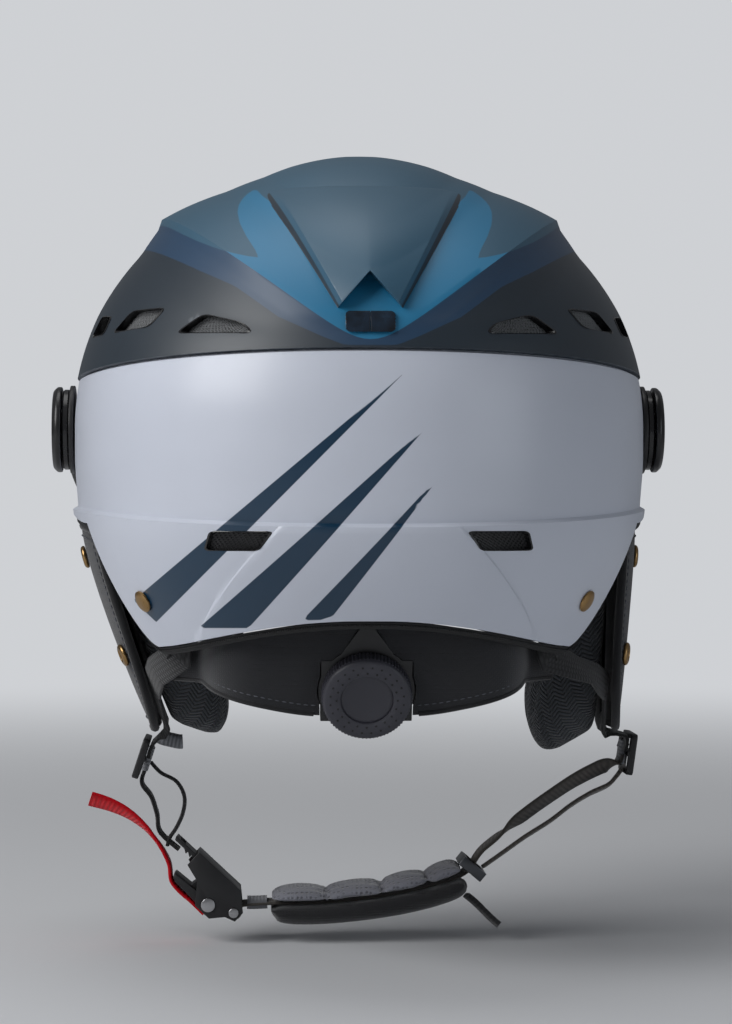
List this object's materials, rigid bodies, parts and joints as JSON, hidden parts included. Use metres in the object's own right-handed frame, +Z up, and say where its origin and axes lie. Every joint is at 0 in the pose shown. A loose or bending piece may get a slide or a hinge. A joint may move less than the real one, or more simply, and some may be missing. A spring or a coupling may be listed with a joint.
{
  "type": "paragliding helmet",
  "caption": "Paragliding helmet with a flip-up visor on two temple pivots, a rear fit dial with coupled rack arms, ear covers and a ratchet chin buckle.",
  "frame": {"origin": "middle of the head, level with the visor's pivot axis", "axes": "+Z up, the face looks along -Y, +X is the wearer's left"},
  "size_m": [0.2356, 0.2697, 0.3015],
  "materials": {
    "blue_paint": "gloss",
    "white_paint": "gloss",
    "foam": "matte",
    "pale_mesh": "matte",
    "rubber": "matte",
    "gloss_black": "gloss",
    "brass": "satin",
    "dark_fabric": "matte",
    "tinted_lens": "gloss",
    "black_plastic": "satin",
    "steel": "satin",
    "pale_plastic": "satin",
    "black_webbing": "matte",
    "brown_webbing": "matte",
    "red_webbing": "satin",
    "grey_fleece": "matte"
  },
  "bodies": {
    "helmet": {"brow_pad": "dark_fabric", "brow_trim": "rubber", "buckle_body": "black_plastic", "buckle_pins": "steel", "buckle_spring": "steel", "chin_pad_fleece": "grey_fleece", "chin_pad_sleeve": "dark_fabric", "chin_strap": "brown_webbing", "crown_pad": "dark_fabric", "dial_housing": "black_plastic", "dial_housing_back": "black_plastic", "ear_cover_left": "dark_fabric", "ear_cover_right": "dark_fabric", "ear_pad_left": "dark_fabric", "ear_pad_right": "dark_fabric", "ear_snaps": "brass", "impact_liner": "foam", "lower_edge_trim": "rubber", "lower_shell": "white_paint", "nape_cover": "dark_fabric", "nape_pad": "dark_fabric", "pivot_base_left": "black_plastic", "pivot_base_right": "black_plastic", "pivot_cap_left": "black_plastic", "pivot_cap_right": "black_plastic", "pivot_screws": "steel", "pivot_spring_left": "steel", "pivot_spring_right": "steel", "rear_patch": "gloss_black", "rear_vent_grilles": "black_plastic", "shell_rivets": "brass", "side_band_left": "black_webbing", "side_band_right": "black_webbing", "side_pads": "dark_fabric", "strap_divider_left": "black_plastic", "strap_divider_right": "black_plastic", "strap_end_tab": "black_plastic", "strap_front_left": "black_webbing", "strap_front_right": "black_webbing", "strap_keeper": "black_plastic", "strap_lower_left": "black_webbing", "strap_rear_left": "black_webbing", "strap_rear_right": "black_webbing", "strap_tail": "brown_webbing", "upper_shell": "blue_paint", "upper_vent_meshes": "pale_mesh"},
    "visor": {"visor_lens": "tinted_lens", "visor_seal": "rubber", "visor_tab": "black_plastic", "visor_arm_left": "black_plastic", "visor_arm_right": "black_plastic", "lens_screws": "steel"},
    "dial": {"dial_knob": "black_plastic", "dial_disc": "black_plastic", "dial_pinion": "pale_plastic"},
    "rack_left": {"rack_arm_left": "black_plastic"},
    "rack_right": {"rack_arm_right": "black_plastic"},
    "lever": {"buckle_lever": "black_plastic", "red_pull_tab": "red_webbing"},
    "ladder": {"buckle_ladder": "black_plastic"}
  },
  "joints": [
    {"name": "visor_flip", "type": "hinge", "parent": "helmet", "child": "visor", "pos_m": [0, 0, 0], "axis": [-1, 0, 0], "range_deg": [0, 50]},
    {"name": "dial_turn", "type": "hinge", "parent": "helmet", "child": "dial", "pos_m": [0, 0.0893, -0.094], "axis": [0, 0.9063, -0.4226], "range_deg": [0, 85.9]},
    {"name": "rack_left_slide", "type": "slide", "parent": "helmet", "child": "rack_left", "axis": [-1, 0, 0], "range_m": [0, 0.006]},
    {"name": "rack_right_slide", "type": "slide", "parent": "helmet", "child": "rack_right", "axis": [1, 0, 0], "range_m": [0, 0.006]},
    {"name": "lever_lift", "type": "hinge", "parent": "helmet", "child": "lever", "pos_m": [0.05835, -0.015, -0.18504], "axis": [0, 1, 0], "range_deg": [0, 35], "stiffness_Nm_per_rad": 0.15},
    {"name": "ladder_slide", "type": "slide", "parent": "helmet", "child": "ladder", "axis": [-0.7314, 0, -0.682], "range_m": [-0.004, 0.005]}
  ],
  "couplings": [
    {"joint": "rack_left_slide", "follows": "dial_turn", "m_per_rad": 0.004},
    {"joint": "rack_right_slide", "follows": "dial_turn", "m_per_rad": 0.004}
  ]
}
